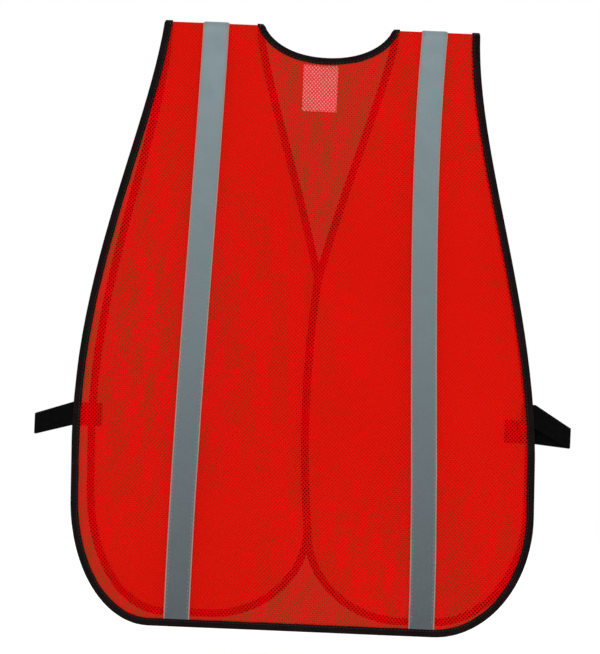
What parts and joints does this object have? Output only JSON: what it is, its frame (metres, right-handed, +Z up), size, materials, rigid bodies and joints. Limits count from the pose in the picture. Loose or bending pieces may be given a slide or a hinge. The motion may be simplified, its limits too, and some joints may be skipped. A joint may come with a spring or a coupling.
{
  "type": "safety vest",
  "caption": "Orange-red mesh safety vest with black edge binding, silver reflective tapes over the shoulders, folded elastic side straps and a neck label; fronts open and swing.",
  "frame": {"origin": "on the shoulder fold's axis, midway between the back and the front fabric, in the middle of the back's width", "axes": "+Z up along the hanging vest, +X to the wearer's right, -Y out of the back of the vest"},
  "size_m": [0.5261, 0.012, 0.5978],
  "materials": {
    "mesh": "open knitted polyester mesh, matt",
    "edge_binding": "woven black binding tape, matt",
    "tape_backing": "plain cream cloth edge",
    "reflective_tape": "silver glass-bead tape, satin",
    "elastic": "ribbed black elastic, matt",
    "label": "white satin label, blank"
  },
  "bodies": {
    "back": {"back_panel": "mesh", "neck_binding": "edge_binding", "back_edge_binding": "edge_binding", "back_strap_tabs": "elastic", "back_left_backing": "tape_backing", "back_left_tape": "reflective_tape", "back_right_backing": "tape_backing", "back_right_tape": "reflective_tape"},
    "left_front": {"front_left_panel": "mesh", "front_left_edge_binding": "edge_binding", "front_left_backing": "tape_backing", "front_left_tape": "reflective_tape", "front_left_strap_tab": "elastic"},
    "left_flap": {"front_left_flap": "mesh", "front_left_opening_binding": "edge_binding"},
    "right_front": {"front_right_panel": "mesh", "front_right_edge_binding": "edge_binding", "front_right_backing": "tape_backing", "front_right_tape": "reflective_tape", "front_right_strap_tab": "elastic"},
    "right_flap": {"front_right_flap": "mesh", "front_right_opening_binding": "edge_binding"},
    "left_strap_back": {"left_strap_back": "elastic"},
    "left_strap_front": {"left_strap_front": "elastic"},
    "right_strap_back": {"right_strap_back": "elastic"},
    "right_strap_front": {"right_strap_front": "elastic"},
    "label": {"neck_label": "label"}
  },
  "joints": [
    {"name": "left_front_swing", "type": "hinge", "parent": "back", "child": "left_front", "pos_m": [-0.107, 0, 0], "axis": [1, 0, 0], "range_deg": [0, 8]},
    {"name": "right_front_swing", "type": "hinge", "parent": "back", "child": "right_front", "pos_m": [0.113, 0, 0], "axis": [1, 0, 0], "range_deg": [0, 8]},
    {"name": "left_flap_open", "type": "hinge", "parent": "left_front", "child": "left_flap", "pos_m": [-0.058, 0.0067, -0.3], "axis": [0, 0, 1], "range_deg": [0, 170]},
    {"name": "right_flap_open", "type": "hinge", "parent": "right_front", "child": "right_flap", "pos_m": [0.07, 0.0067, -0.3], "axis": [0, 0, -1], "range_deg": [0, 170]},
    {"name": "left_strap_unfold", "type": "hinge", "parent": "back", "child": "left_strap_back", "pos_m": [-0.2308, -0.00275, -0.3863], "axis": [0, 0, -1], "range_deg": [0, 47]},
    {"name": "left_strap_fold", "type": "hinge", "parent": "left_strap_back", "child": "left_strap_front", "pos_m": [-0.2663, 0, -0.3973], "axis": [0, 0, 1], "range_deg": [0, 93]},
    {"name": "right_strap_unfold", "type": "hinge", "parent": "back", "child": "right_strap_back", "pos_m": [0.2253, -0.00275, -0.3703], "axis": [0, 0, 1], "range_deg": [0, 62]},
    {"name": "right_strap_fold", "type": "hinge", "parent": "right_strap_back", "child": "right_strap_front", "pos_m": [0.2598, 0, -0.3903], "axis": [0, 0, -1], "range_deg": [0, 123]},
    {"name": "label_flip", "type": "hinge", "parent": "back", "child": "label", "pos_m": [0, -0.00305, -0.0296], "axis": [1, 0, 0], "range_deg": [0, 110]}
  ],
  "couplings": [
    {"joint": "left_strap_unfold", "follows": "left_front_swing", "ratio": 5.8},
    {"joint": "left_strap_fold", "follows": "left_front_swing", "ratio": 11.6},
    {"joint": "right_strap_unfold", "follows": "right_front_swing", "ratio": 7.65},
    {"joint": "right_strap_fold", "follows": "right_front_swing", "ratio": 15.3}
  ]
}
